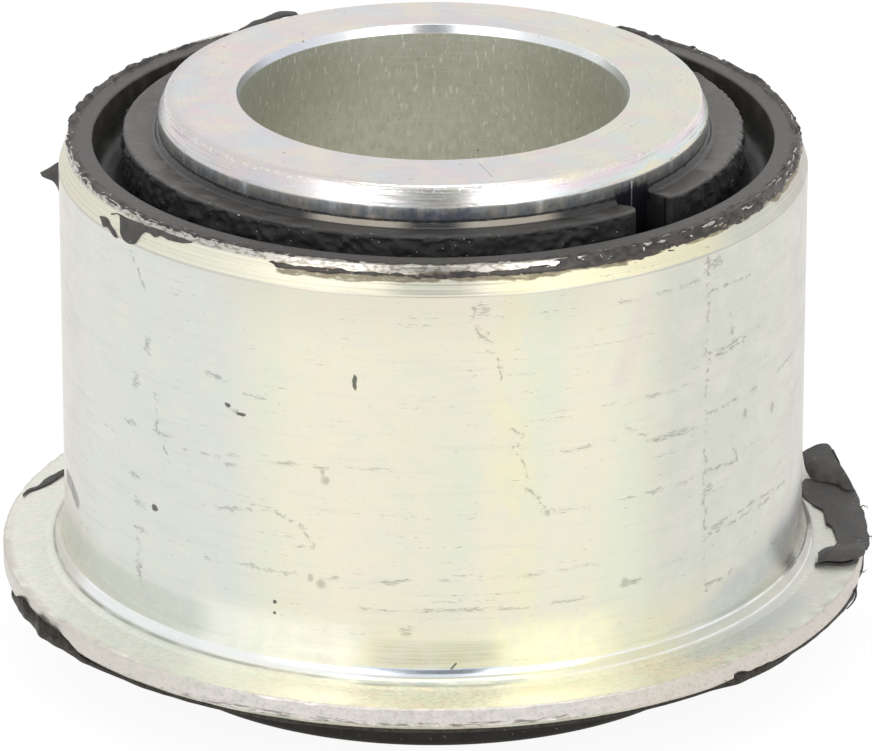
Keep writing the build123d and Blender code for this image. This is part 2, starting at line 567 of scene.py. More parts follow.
def torn_sheet(name, rails, thickness, seed, ragged=0.03, count=120, across=16):
    """A closed torn sheet of rubber through two or more rails, with a ragged edge at the first and
    the last, and an uneven surface."""
    lines = np.stack([rail(places, count) for places in rails], axis=1)
    middle = np.stack([even_curve(line, across) for line in lines])
    length = np.linalg.norm(np.diff(middle[:, across // 2], axis=0), axis=1).sum() / count
    width = np.linalg.norm(np.diff(middle[count // 2], axis=0), axis=1).sum() / across
    share = np.linspace(0, 1, across)[None, :, None]

    jag = random_field((count, 2), (0.35 / length, 0.01), seed)
    jag = jag + random_field((count, 2), (1.1 / length, 0.01), seed + 1)
    side = unit(np.gradient(middle, axis=1))
    pull = jag[:, 1:, None] * share**6 - jag[:, :1, None] * (1 - share) ** 6
    middle = middle + side * pull * ragged

    normal = unit(np.cross(np.gradient(middle, axis=0), side))
    normal *= np.where(normal[:, :, 2:].mean() < 0, -1, 1)
    size = (count, across)
    waves = 0.035 * random_field(size, (1.2 / length, 0.9 / width), seed + 2)
    waves = (waves + 0.008 * random_field(size, (0.3 / length, 0.3 / width), seed + 3))[:, :, None]
    round_edge = np.sin(np.pi * np.clip(share * 0.96 + 0.02, 0, 1)) ** 0.4
    along = np.linspace(0, 1, count)[:, None, None]
    round_end = np.sin(np.pi * np.clip(along * 0.98 + 0.01, 0, 1)) ** 0.25
    half = thickness / 2 * round_edge * round_end
    top = middle + normal * (waves + half)
    bottom = middle + normal * (waves - half)
    return grid_mesh(name, np.concatenate([top, bottom[:, ::-1]], axis=1), ring=False)


def thread(name, places, thickness, seed, count=40, across=7):
    """A fine torn thread of rubber through places, thinner to its end."""
    line = rail(places, count) + random_field((count, 3), (4, 0.01), seed) * thickness * 0.4
    tangent = unit(np.gradient(line, axis=0))
    side = unit(np.cross(tangent, (0.3, 0.2, 0.93)))
    other = np.cross(tangent, side)
    turn = np.linspace(0, 2 * math.pi, across, endpoint=False)[None, :, None]
    radius = thickness / 2 * np.linspace(1, 0.35, count)[:, None, None]
    ring = side[:, None] * np.cos(turn) + other[:, None] * np.sin(turn)
    return grid_mesh(name, line[:, None] + ring * radius, ring=False)


def taper_radius(height):
    """The radius of the lead-in taper at a height."""
    return rim_outer + lead_in[0] * (rim_height - height) / lead_in[1]


def on_taper(*places, proud=0.05):
    """Places on the lead-in taper, or on the wall below it, from azimuths and heights."""
    radii = [min(taper_radius(height), body_radius) + proud for _, height in places]
    return [(azimuth, radius, height) for (azimuth, height), radius in zip(places, radii)]


# Fine threads torn from the sheet at the right, as (name, places, thickness, seed)
right_threads = (
    ("thread_sheet_back", ((97.5, 34.3, 0.2), (96.9, 34.55, 0.3), (96.2, 34.7, 0.45)), 0.1, 72),
    ("thread_sheet_side", ((88, 34.25, 0.1), (87.2, 34.6, 0.2), (86.2, 34.6, 0.1)), 0.1, 73),
    ("thread_sheet_inner", ((92.2, 31.2, 0.25), (91.4, 31.0, 0.4), (92.6, 31.3, 0.7)), 0.12, 74),
    ("thread_sheet_front", ((81.5, 33.9, -1.2), (80.6, 34.2, -1.1), (80.2, 34.5, -0.8)), 0.1, 76),
    (
        "thread_edge_right",
        ((88, 33.95, -0.9), (83, 33.95, -1.2), (77, 33.95, -1.5), (71, 33.9, -1.8)),
        0.34, 75,
    ),
)


def make_right_sheet():
    """The skin that came off the flange's edge at the right: it lies on the flange, its far end
    turned up in a flap, its near end folded over."""
    inner = [
        (108.0, 31.2, 0.35), (105.5, 30.5, 0.35), (102, 30.1, 0.3), (100.3, 30.3, 0.2),
        (98.3, 30.7, 0.2), (96.6, 31.1, 0.2), (94.6, 31.1, 0.2), (91.9, 31.1, 0.2), (91.0, 31.4, 0.2),
        (89.2, 31.65, 0.2), (87, 31.75, 0.2), (84.9, 31.8, 0.2), (83.2, 31.6, 0.25),
    ]
    outer = [
        (107.5, 34.1, 0.35), (105, 34.4, 0.3), (102.7, 34.5, 0.2), (100.3, 34.45, 0.15),
        (97.8, 34.4, 0.12), (94.5, 34.37, 0.1), (90.9, 34.3, 0.1), (87.2, 34.32, 0.1),
        (84.5, 34.38, 0.15), (82.5, 34.3, 0.25),
    ]
    lip = [
        (107.7, 31.6, 0.5), (106.2, 31.9, 0.45), (105.2, 32.5, 0.45), (103.9, 33.3, 0.45),
        (102.5, 33.5, 0.45), (101.6, 34.35, 0.45),
    ]
    crease = [
        (109.5, 31.6, 1.05), (107.6, 32.0, 0.95), (106.3, 32.9, 0.9), (105.6, 33.5, 0.85),
        (103.4, 34.3, 0.75),
    ]
    top = [
        (112, 32.0, 1.7), (112.8, 32.7, 1.75), (113.3, 33.6, 1.8), (113.2, 34.4, 1.75),
        (109.8, 34.3, 1.4),
    ]
    near_edge = [
        (76.2, 30.9, 0.3), (77.0, 31.6, 0.45), (77.6, 32.8, 0.45), (78.6, 33.7, 0.4), (80.5, 34.2, 0.3),
    ]
    ridge = [
        (78.2, 30.75, 0.45), (79.2, 31.6, 0.75), (80.0, 32.8, 0.75), (81.2, 33.7, 0.65),
        (82.0, 34.2, 0.4),
    ]
    far_edge = [
        (80.2, 30.6, 0.3), (82.4, 31.35, 0.35), (83.4, 32.4, 0.35), (84.2, 33.4, 0.35),
        (84.6, 34.3, 0.3),
    ]
    sheets = [
        torn_sheet("flash_right_sheet", [inner, outer], thickness=0.2, seed=41, across=24),
        torn_sheet("flash_right_flap", [lip, crease, top], thickness=0.28, seed=44, across=24),
        torn_sheet(
            "flash_right_fold",
            [near_edge, ridge, far_edge],
            thickness=0.2, seed=47, ragged=0.06, across=24,
        ),
        torn_sheet(
            "flash_right_tongue",
            [
                [(76.0, 30.7, 0.12), (77.3, 31.6, 0.14), (77.6, 32.8, 0.16), (78.2, 33.5, 0.2)],
                [(77.3, 30.6, 0.12), (78.8, 31.5, 0.2), (79.2, 32.8, 0.2), (79.6, 33.5, 0.2)],
            ],
            thickness=0.16, seed=50, count=60, across=8,
        ),
    ]
    return sheets + [thread(*row) for row in right_threads]


def make_flash():
    """The other loose scraps of moulding flash, each where the photograph shows it."""
    strip_far = [
        (-113, 31.9, 0.12), (-110.9, 32.24, 0.14), (-108.3, 32.68, 0.14), (-105.8, 32.84, 0.14),
        (-104.5, 33.3, 0.12), (-102.1, 33.49, 0.1),
    ]
    strip_near = [
        (-112, 31.5, 0.12), (-110.4, 31.63, 0.12), (-107.2, 31.94, 0.12), (-104.8, 32.58, 0.12),
        (-103.9, 33.0, 0.12), (-101.4, 33.35, 0.1),
    ]
    tab_top = (
        (-58.5, 32.59), (-55.6, 32.98), (-54.3, 32.9), (-52, 32.95), (-49.7, 32.99), (-47.4, 33.05),
        (-45.1, 33.07), (-42.9, 33.05), (-41.1, 33.1), (-39.3, 33.05),
    )
    tab_bottom = (
        (-58.4, 32.52), (-56.3, 32.75), (-55.5, 32.15), (-54.9, 31.7), (-53.9, 31.39), (-52.3, 31.22),
        (-50.8, 31.45), (-50.4, 31.75), (-50, 32.14), (-49.3, 32.46), (-48.2, 32.56), (-46.7, 32.45),
        (-45.9, 32.68), (-43.8, 32.64), (-42.1, 32.7), (-40.9, 32.76), (-39.4, 32.95),
    )
    sliver_right = (
        (-61.2, 31.98), (-59.6, 32.07), (-58.3, 31.98), (-57.4, 31.78), (-56.1, 31.55), (-55.2, 31.25),
    )
    sliver_left = (
        (-61.1, 31.92), (-60.3, 31.68), (-59.5, 31.42), (-58.7, 31.48), (-57.5, 31.38), (-56.4, 31.2),
        (-55.3, 31.12),
    )
    return [
        torn_sheet(
            "flash_left_strip",
            [strip_far, strip_near],
            thickness=0.12, seed=53, ragged=0.02, count=80, across=8,
        ),
        # A pointed flake that stands off the wall at the left
        torn_sheet(
            "flash_left_flake",
            [
                [(-94.5, 28.9, 30.5), (-93.4, 29.5, 30.3), (-92.7, 30.1, 30.05), (-92.4, 30.6, 29.8)],
                [(-86.5, 28.95, 29.3), (-88.8, 29.2, 29.35), (-90.8, 29.8, 29.5), (-92.0, 30.5, 29.7)],
            ],
            thickness=0.16, seed=56, ragged=0.08, count=60, across=12,
        ),
        # The tab that hangs from the film at the left, and the sliver beside it
        torn_sheet(
            "flash_tab",
            [on_taper(*tab_top), on_taper(*tab_bottom)],
            thickness=0.1, seed=59, ragged=0.02, count=160,
        ),
        torn_sheet(
            "flash_sliver",
            [on_taper(*sliver_right), on_taper(*sliver_left)],
            thickness=0.08, seed=62, ragged=0.015, count=60, across=8,
        ),
        # A crest of flash on the rim behind the inner sleeve
        torn_sheet(
            "flash_back_crest",
            [
                [
                    (-146, 28.0, 33.5), (-150, 28.15, 33.62), (-154, 28.4, 33.7), (-156.4, 28.6, 33.7),
                    (-158, 28.8, 33.6),
                ],
                [
                    (-147, 28.4, 33.5), (-150.4, 28.95, 33.7), (-152.3, 29.0, 33.75),
                    (-155.5, 29.7, 33.8), (-157.8, 29.55, 33.75),
                ],
            ],
            thickness=0.3, seed=65, ragged=0.05, count=70, across=10,
        ),
    ]


# ---------------------------------------------------------------------------------------------
# Materials
# ---------------------------------------------------------------------------------------------


class Paint:
    """A material whose nodes are made by short calls. Each call returns a socket or a number."""

    def __init__(self, name, metallic):
        self.material = bpy.data.materials.new(name)
        self.material.use_nodes = True
        self.tree = self.material.node_tree
        self.shader = self.tree.nodes["Principled BSDF"]
        self.shader.inputs["Metallic"].default_value = metallic
        coordinates = self.node("TexCoord").outputs["Object"]
        self.place = self.vector("SCALE", coordinates, scale=1 / MM)
        split = self.node("SeparateXYZ")
        self.tree.links.new(self.place, split.inputs[0])
        self.x, self.y, self.height = split.outputs
        squares = self.add(self.times(self.x, self.x), self.times(self.y, self.y))
        self.radius = self.math("SQRT", squares)
        angle = self.math("ARCTAN2", self.x, self.math("MULTIPLY", self.y, -1))
        self.azimuth = self.math("MULTIPLY", angle, 180 / math.pi)

    def node(self, kind):
        """A new shader node of a kind."""
        return self.tree.nodes.new("ShaderNode" + kind)

    def put(self, socket, value):
        """Sets a socket to a number, a colour or a vector, or links another socket to it."""
        if isinstance(value, bpy.types.NodeSocket):
            self.tree.links.new(value, socket)
        elif isinstance(value, (tuple, list)) and len(socket.default_value) == 4:
            socket.default_value = (*value, 1)
        else:
            socket.default_value = value

    def math(self, operation, a, b=0.0):
        node = self.node("Math")
        node.operation = operation
        for socket, value in zip(node.inputs, (a, b)):
            self.put(socket, value)
        return node.outputs[0]

    def vector(self, operation, a, b=(0, 0, 0), scale=1.0):
        node = self.node("VectorMath")
        node.operation = operation
        self.put(node.inputs[0], a)
        if operation == "SCALE":
            self.put(node.inputs["Scale"], scale)
        elif operation != "LENGTH":
            self.put(node.inputs[1], b)
        return node.outputs["Value" if operation in ("LENGTH", "DOT_PRODUCT") else "Vector"]

    def turned_place(self, angle):
        """The place, turned round the axis by an angle in degrees."""
        node = self.node("VectorRotate")
        node.rotation_type = "Z_AXIS"
        self.put(node.inputs["Vector"], self.place)
        self.put(node.inputs["Angle"], math.radians(angle))
        return node.outputs[0]

    def noise(self, grain, detail=2.0, seed=0.0, rough=0.5, place=None):
        """Cloudy values about a half. Grain is the size of a cloud: one number, or along x, y and z."""
        sizes = grain if isinstance(grain, tuple) else (grain,) * 3
        scaled = self.vector("DIVIDE", place or self.place, sizes)
        node = self.node("TexNoise")
        self.put(node.inputs["Vector"], self.vector("ADD", scaled, (seed, seed * 0.7, seed * 1.3)))
        node.inputs["Scale"].default_value = 1
        node.inputs["Detail"].default_value = detail
        node.inputs["Roughness"].default_value = rough
        return node.outputs["Fac"]

    def arcs(self, across, along, detail, seed):
        """Cloudy streaks that run round the axis, on a face that slopes or lies flat."""
        joined = self.node("CombineXYZ")
        for socket, value in zip(joined.inputs, (self.x, self.y)):
            direction = self.math("DIVIDE", value, self.radius)
            self.put(socket, self.times(direction, sleeve_radius / along))
        self.put(joined.inputs[2], self.math("DIVIDE", self.radius, across))
        return self.noise(1, detail=detail, seed=seed, place=joined.outputs[0])

    def rise(self, value, low, high, start=0.0, end=1.0):
        """From start at low to end at high, smoothly."""
        node = self.node("MapRange")
        node.interpolation_type = "SMOOTHSTEP"
        node.clamp = False
        given = {"Value": value, "From Min": low, "From Max": high, "To Min": start, "To Max": end}
        for name, setting in given.items():
            self.put(node.inputs[name], setting)
        return node.outputs["Result"]

    def window(self, value, start, end, fade):
        """1 from start to end, with a smooth fade outside."""
        return self.times(self.rise(value, start - fade, start), self.rise(value, end + fade, end))

    def sector(self, start, end, fade):
        """1 between two azimuths, in degrees."""
        return self.window(self.azimuth, start, end, fade)

    def belt(self, start, end, fade):
        """1 between two heights."""
        return self.window(self.height, start, end, fade)

    def by_height(self, none, full):
        """From 0 at one height to 1 at another."""
        return self.rise(self.height, none, full)

    def by_radius(self, none, full):
        """From 0 at one radius to 1 at another."""
        return self.rise(self.radius, none, full)

    def within(self, distance, far, near):
        """1 nearer than near and 0 beyond far. The distance is first cut at far."""
        return self.rise(self.math("MINIMUM", distance, far), far, near)

    def patches(self, grain, detail, seed, low, high, start=0.0, end=1.0, rough=0.5):
        """Soft cloudy patches: start where the noise is below low, end where it is above high."""
        return self.rise(self.noise(grain, detail, seed, rough), low, high, start, end)

    def add(self, a, b):
        return self.math("ADD", a, b)

    def less(self, a, b):
        return self.math("SUBTRACT", a, b)

    def times(self, *values):
        total = values[0]
        for value in values[1:]:
            total = self.math("MULTIPLY", total, value)
        return total

    def most(self, *values):
        total = values[0]
        for value in values[1:]:
            total = self.math("MAXIMUM", total, value)
        return total

    def blend(self, share, a, b):
        """Colour a where the share is 0, and b where it is 1."""
        node = self.node("Mix")
        node.data_type = "RGBA"
        self.put(node.inputs["Factor"], share)
        self.put(node.inputs[6], a)
        self.put(node.inputs[7], b)
        return node.outputs[2]

    def over(self, under, tint, *shares):
        """The colour under, with a tint laid over it as strongly as the shares multiplied together."""
        return self.blend(self.times(*shares), under, tint)

    def coat(self, tint, *shares):
        """Lays a tint over the material's own colour, as over does."""
        self.colour = self.over(self.colour, tint, *shares)

    def near_line(self, unrolled, places):
        """The distance on the unrolled wall from a line through places, each (azimuth, height)."""
        flat = [unroll(*place) for place in places]
        nearest = far_away
        for start, end in zip(flat, flat[1:]):
            run = end - start
            offset = self.vector("SUBTRACT", unrolled, tuple(start))
            share = self.math("DIVIDE", self.vector("DOT_PRODUCT", offset, tuple(run)), run.length_squared)
            share = self.math("MINIMUM", self.math("MAXIMUM", share, 0), 1)
            along = self.vector("SCALE", tuple(run), scale=share)
            gap = self.vector("LENGTH", self.vector("SUBTRACT", offset, along))
            nearest = self.math("MINIMUM", gap, nearest)
        return nearest

    def near_spot(self, unrolled, azimuth, height, across, tall):
        """The distance from the middle of an oval spot on the unrolled wall, 1 at its rim."""
        offset = self.vector("SUBTRACT", unrolled, tuple(unroll(azimuth, height)))
        return self.vector("LENGTH", self.vector("MULTIPLY", offset, (1 / across, 1 / tall, 0)))

    def finish(self, roughness, bumps, depth):
        """Joins the colour, the roughness and the surface's relief, in millimetres, to the shader."""
        self.put(self.shader.inputs["Base Color"], self.colour)
        self.put(self.shader.inputs["Roughness"], roughness)
        node = self.node("Bump")
        node.inputs["Strength"].default_value = 1
        node.inputs["Distance"].default_value = depth * MM
        self.put(node.inputs["Height"], bumps)
        self.tree.links.new(node.outputs["Normal"], self.shader.inputs["Normal"])
        return self.material


def unroll(azimuth, height):
    """A place on the shell's wall, laid flat."""
    return Vector((math.radians(azimuth) * body_radius, height, 0))


# Scratches on the shell's wall: lines through (azimuth, height)
scratches = (
    ((5.8, 30.5), (6, 29.2), (8, 28.3)),
    ((6.3, 29), (7, 28), (8.8, 27.5)),
    ((8.1, 26.9), (9.7, 25.9), (10.2, 24.7)),
    ((11.1, 21), (13.3, 19.9), (12.9, 19.1)),
    ((11.7, 19), (13.5, 17.7), (14.5, 16.1)),
    ((14.1, 15.7), (15.6, 14.6), (17.2, 13.6)),
    ((-24, 12.9), (-20.7, 12.4), (-18, 10.6)),
    ((-46.7, 19.8), (-46.2, 17.3), (-43.4, 14.7)),
    ((-52, 31.1), (-48.7, 28.2)),
    ((50.4, 25.8), (51.6, 23.3)),
    ((45.5, 23.3), (54.5, 23.2)),
    ((45.9, 22.8), (54, 22.9)),
    ((45.7, 18.5), (54.3, 18.5)),
    ((45.7, 28.3), (55.9, 28.2)),
    ((45.4, 8.9), (59.5, 9.1), (69.8, 8.5)),
    ((45.4, 8.4), (65.8, 8.4)),
    ((45.2, 13.7), (52.9, 13.4), (52.2, 14.8)),
    ((45.6, 4.2), (49.7, 4.1), (53, 4.4)),
    ((45.3, 31.8), (45.4, 29.6)),
    ((45.3, 15.6), (45.5, 8)),
)

# Fainter rows of dashes: lines through (azimuth, height)
dashed_rows = (
    ((-40.3, 16.3), (-22.4, 17.1), (-6.4, 17.4)),
    ((-37.5, 12.1), (-24, 12.9)),
    ((-36.8, 7.8), (-30, 8.1), (-14.4, 8.1)),
    ((-25.6, 10.4), (-18, 10.5)),
    ((-36.4, 23), (-31.9, 22.8)),
    ((-28.8, 22), (-21.7, 22.2)),
    ((-11, 5.9), (23.9, 5.9)),
    ((-5, 8.3), (27, 8.6)),
    ((17.7, 13.4), (43, 13.5)),
    ((17.4, 18.2), (28.6, 18.5)),
    ((29.8, 19.4), (35.9, 17.4), (42.9, 17.4)),
    ((25, 21.3), (42, 21.3)),
    ((28.7, 29.5), (43.7, 29.5)),
    ((54.3, 18.4), (74, 18.6)),
    ((45.3, 29), (45.6, 3.6)),
    ((-51.5, 8.4), (-50.5, 3.4)),
)

# Scuffed spots on the wall: (azimuth, height, half its length, half its height)
scuffs = (
    (-31.2, 20.5, 1.0, 0.35), (-52.6, 16.6, 1.4, 0.35), (-45, 16.8, 1.5, 0.35),
    (-51.8, 12.4, 1.3, 0.35), (-50.6, 8.0, 1.5, 0.35), (-31.5, 16.0, 1.0, 0.25), (38, 17.7, 3.4, 0.45),
    (31, 6.4, 1.6, 0.4), (47.2, 30.4, 1.5, 0.8), (46.4, 12.3, 0.6, 0.8), (65.5, 4.4, 1.2, 0.5),
    (-4, 4.2, 1.0, 0.6), (-34, 22.9, 1.3, 0.3), (-6.5, 8.2, 1.8, 0.3), (48.5, 8.8, 1.6, 0.35),
    (-48, 23.5, 0.6, 1.2), (-51.2, 20.2, 0.7, 1.1), (-50.5, 10.2, 1.0, 0.6), (-50.8, 4.7, 0.8, 1.2),
    (7, 30.2, 0.9, 0.8),
)

# Small grey blots on the wall, as scuffs
blots = (
    (-16.2, 16.1, 0.42, 0.42), (-16.8, 16.8, 0.2, 0.4), (-18.6, 8.0, 0.25, 0.38), (-16.9, 7.6, 0.42, 0.46),
    (30.1, 6.6, 0.45, 0.4), (55, 16.9, 0.3, 0.45), (63.6, 15.8, 0.35, 0.5), (17.3, 13.4, 0.3, 0.3),
)

# Small black specks of rubber on the wall, as scuffs
specks_on_wall = (
    (-11.6, 24.3, 0.18, 0.6), (-46.9, 10.4, 0.31, 0.3), (-24.5, 5.5, 0.17, 0.17), (-24.5, 4.6, 0.12, 0.12),
    (-32.1, 20.85, 0.25, 0.2), (-29.9, 20.4, 0.42, 0.13),
    (-44.7, 1.0, 0.14, 0.14),
)


def unrolled_place(paint):
    """The place on the shell's wall, laid flat."""
    joined = paint.node("CombineXYZ")
    paint.put(joined.inputs[0], paint.math("MULTIPLY", paint.azimuth, math.radians(body_radius)))
    paint.put(joined.inputs[1], paint.height)
    return joined.outputs[0]


def nearest_line(paint, unrolled, lines):
    """The distance on the unrolled wall from the nearest line."""
    nearest = far_away
    for places in lines:
        nearest = paint.math("MINIMUM", nearest, paint.near_line(unrolled, places))
    return nearest


def nearest_spot(paint, unrolled, spots):
    """The distance on the unrolled wall from the nearest spot."""
    nearest = far_away
    for azimuth, height, across, tall in spots:
        nearest = paint.math("MINIMUM", nearest, paint.near_spot(unrolled, azimuth, height, across, tall))
    return nearest


def shell_marks(paint):
    """Fine dark scratches and dashes on the shell's wall: a mask from 0 to 1."""

    def drift(size, grain, seed):
        return paint.times(paint.less(paint.noise(grain, seed=seed), 0.5), size)

    shift = paint.node("CombineXYZ")
    paint.put(shift.inputs[0], paint.add(drift(1.1, 1.2, 51), drift(0.3, 0.35, 58)))
    paint.put(shift.inputs[1], paint.add(drift(0.7, 1.6, 52), drift(0.22, 0.4, 59)))
    straight = unrolled_place(paint)
    unrolled = paint.vector("ADD", straight, shift.outputs[0])

    # Hair-fine dashes show where something has rubbed
    hairs = paint.noise((0.55, 0.55, 0.075), detail=3, seed=53, rough=0.6)
    broken = paint.patches((0.7, 0.7, 0.6), 3, 57, 0.40, 0.62)
    parted = paint.patches((1.6, 1.6, 0.7), 4, 60, 0.44, 0.62)
    uneven = drift(0.24, 0.3, 61)
    slightly = paint.vector("ADD", straight, paint.vector("SCALE", shift.outputs[0], scale=0.4))

    nearest = nearest_line(paint, unrolled, scratches)
    width = paint.add(nearest, uneven)
    scratched = paint.times(paint.within(width, 0.17, 0.0), broken, 0.46)
    beside = paint.times(paint.within(nearest, 0.5, 0.05), broken)
    nearest = nearest_line(paint, unrolled, dashed_rows)
    width = paint.add(nearest, uneven)
    dashed = paint.times(paint.within(width, 0.12, 0.0), parted, 0.3)
    along = paint.times(paint.within(nearest, 0.45, 0.04), parted)
    scuffed = paint.rise(nearest_spot(paint, unrolled, scuffs), 1.2, 0.2)
    blot = paint.add(nearest_spot(paint, slightly, blots), paint.times(uneven, 5))
    blot = paint.times(paint.within(blot, 1.25, 0.4), 0.36)
    speck = paint.add(nearest_spot(paint, slightly, specks_on_wall), paint.times(uneven, 3))
    speck = paint.times(paint.within(speck, 1.25, 0.8), 0.92)

    # Faint rows of the same dashes and tiny flecks lie all over the wall
    rows = paint.patches((16, 16, 0.3), 1, 55, 0.57, 0.68)
    stretches = paint.patches(4, 2, 56, 0.44, 0.6)
    faint = paint.times(rows, stretches, 0.6)
    flecks = paint.times(paint.patches((0.45, 0.45, 0.3), 2, 62, 0.70, 0.80), 0.3)
    beside, along, scuffed = paint.times(beside, 0.85), paint.times(along, 0.9), paint.times(scuffed, 1.1)
    rubbed = paint.most(beside, along, scuffed, faint)
    worn = paint.add(hairs, paint.times(rubbed, 0.22))
    lines = paint.times(paint.rise(worn, 0.635, 0.81), 0.45)
    return paint.most(scratched, dashed, lines, blot, speck, flecks)


def wall_tints(paint):
    """The pale tints of the shell's wall, which drift in upright bands and soft patches, with painted shade
    and painted glow laid over them.
    """
    green, cool, cream = (0.72, 0.745, 0.60), (0.65, 0.675, 0.635), (0.80, 0.75, 0.60)
    pink, yellow, grey = (0.60, 0.565, 0.515), (0.82, 0.78, 0.48), (0.60, 0.605, 0.54)
    bands = paint.noise((9, 9, 60), detail=2, seed=2)
    paint.colour = paint.blend(paint.rise(bands, 0.42, 0.6), green, cream)
    paint.coat(cream, paint.sector(-18, -3, 8), 0.7)
    # Painted shade towards the sides: cooler at the left and greyer at the right
    paint.coat(cool, paint.sector(-75, -34, 12), 0.85)
    paint.coat(grey, paint.sector(40, 78, 12), 0.85)
    uneven = paint.patches((2.2, 2.2, 6), 2, 9, 0.3, 0.6, 0.35, 1.0)
    paint.coat(yellow, uneven, paint.sector(10, 14, 3.5), 0.42)
    # Painted shade: pinker and darker at both far sides, where less light falls
    sides = paint.rise(paint.math("ABSOLUTE", paint.azimuth), 60, 76)
    paint.coat(pink, sides, 0.7)
    # Painted glow: yellower low on the wall, where the flange throws light back onto it
    foot = paint.rise(paint.add(paint.height, paint.times(bands, 4)), 8, 3.2)
    paint.coat(yellow, foot, 0.45, paint.sector(-20, 42, 12))

    # It is browner under the rim at the front, and greyer towards the far right
    high = paint.times(paint.by_height(26, 31), paint.sector(-26, 22, 14))
    paint.coat((0.58, 0.54, 0.45), high, 0.3)
    paint.coat((0.50, 0.48, 0.44), paint.rise(paint.azimuth, 66, 80), 0.5)

    # The lights glow in the wall's foot and on the flange below it
    low = paint.times(paint.by_height(5.5, 3.5), paint.by_height(-0.1, 0))
    glow_left = paint.times(low, paint.sector(-34, -14, 6))
    paint.coat((0.95, 0.95, 0.84), glow_left, 0.55)
    glow_right = paint.times(low, paint.sector(12, 24, 7))
    paint.coat((0.99, 0.97, 0.66), glow_right, 0.6)

    # Painted shade on the foot: in olive lines at its front, low at its left, and in a cool stroke that
    # slopes at its right
    lines = paint.patches((8, 8, 0.13), 3, 102, 0.4, 0.6, 0.35, 0.75)
    olive_shade = paint.times(paint.belt(1.4, 3.0, 0.7), paint.sector(-6, 7, 6), lines)
    paint.coat((0.54, 0.53, 0.38), olive_shade)
    shade = paint.times(paint.belt(2.0, 3.4, 0.9), paint.sector(-88, -42, 12))
    paint.coat((0.42, 0.46, 0.40), shade, 0.32)
    sloping_shade = paint.add(paint.height, paint.times(paint.azimuth, -0.11))
    sloping_shade = paint.times(paint.window(sloping_shade, -4.2, -2.6, 1.2), paint.sector(44, 76, 8))
    paint.coat((0.44, 0.49, 0.55), sloping_shade, 0.4)

    # Soft pink patches and green clouds lie all over
    patches = paint.patches((3.2, 3.2, 2.4), 4, 5, 0.48, 0.66)
    paint.coat((0.79, 0.71, 0.65), patches, 0.26)
    clouds = paint.patches((1.6, 1.6, 1.8), 4, 7, 0.46, 0.64)
    paint.coat((0.66, 0.73, 0.62), clouds, 0.24)


